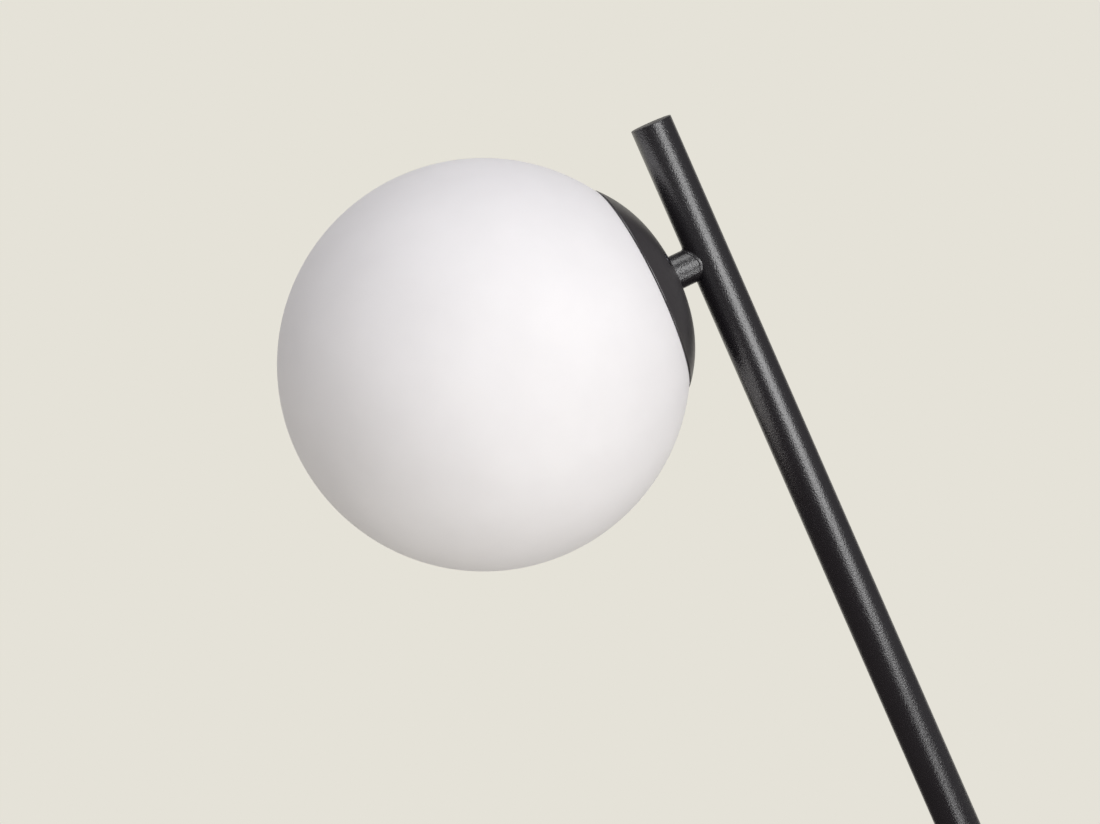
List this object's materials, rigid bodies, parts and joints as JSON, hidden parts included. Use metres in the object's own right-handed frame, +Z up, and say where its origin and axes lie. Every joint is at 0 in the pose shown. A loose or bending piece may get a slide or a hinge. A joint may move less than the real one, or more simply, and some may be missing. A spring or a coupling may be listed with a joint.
{
  "type": "floor lamp",
  "caption": "Leaning floor lamp: round weighted base, slim black tube stem, short arm with a shallow black cup holding an opal white glass globe that unscrews.",
  "frame": {"origin": "middle of the base's underside, on the floor", "axes": "+Z up; the stem leans in the XZ plane, towards -X, and the globe hangs on the -X side; +Y is level, across the lean"},
  "size_m": [0.9086, 0.3, 1.5279],
  "materials": {
    "powder_black": "fine textured black powder coat",
    "satin_black": "smooth satin black lacquer",
    "black_screws": "black oxide, satin",
    "opal_glass": "satin opal white, opaque to the eye",
    "cast_iron": "as cast",
    "felt": "pressed black felt",
    "black_rubber": "moulded",
    "silicone": "translucent white, matt",
    "zinc_steel": "bright zinc plate",
    "brass": "plain",
    "holder_plastic": "moulded thermoset, black",
    "ceramic": "unglazed steatite",
    "bulb_metal": "nickel bright",
    "black_vitrite": "black glass, moulded",
    "bulb_plastic": "white",
    "bulb_diffuser": "frosted white"
  },
  "bodies": {
    "stand": {"arm_nipple": "brass", "arm_nut": "zinc_steel", "arm_stub": "powder_black", "base_cover": "powder_black", "base_pad": "felt", "base_weight": "cast_iron", "cord_gland": "black_rubber", "cup_screws": "black_screws", "foot_grub_screw": "black_screws", "foot_nipple": "brass", "foot_nut": "zinc_steel", "foot_washer": "zinc_steel", "globe_cup": "satin_black", "globe_ring": "zinc_steel", "lampholder_cap": "holder_plastic", "lampholder_core": "ceramic", "lampholder_shell": "brass", "lampholder_skirt": "holder_plastic", "lampholder_tongue": "brass", "locating_pin": "zinc_steel", "lock_washer": "zinc_steel", "lower_joint_insert": "zinc_steel", "lower_joint_stud": "zinc_steel", "lower_tube": "powder_black", "middle_tube": "powder_black", "stem_cap": "powder_black", "stem_socket": "powder_black", "terminal_screws": "brass", "upper_joint_insert": "zinc_steel", "upper_joint_stud": "zinc_steel", "upper_tube": "powder_black"},
    "globe_seal": {"globe_seal": "silicone"},
    "globe": {"glass_globe": "opal_glass"},
    "bulb": {"bulb_contact": "brass", "bulb_insulator": "black_vitrite", "bulb_cap": "bulb_metal", "bulb_body": "bulb_plastic", "bulb_dome": "bulb_diffuser"}
  },
  "joints": [
    {"name": "globe_travel", "type": "slide", "parent": "stand", "child": "globe_seal", "axis": [-0.9056, 0, -0.4242], "range_m": [0, 0.0075]},
    {"name": "globe_turn", "type": "hinge", "parent": "globe_seal", "child": "globe", "pos_m": [-0.65551, 0, 1.40659], "axis": [-0.9056, 0, -0.4242], "range_deg": [0, 540]},
    {"name": "bulb_draw", "type": "slide", "parent": "stand", "child": "bulb", "axis": [-0.9056, 0, -0.4242], "range_m": [0, 0.025]}
  ],
  "couplings": [
    {"joint": "globe_travel", "follows": "globe_turn", "m_per_rad": 0.00079577}
  ]
}
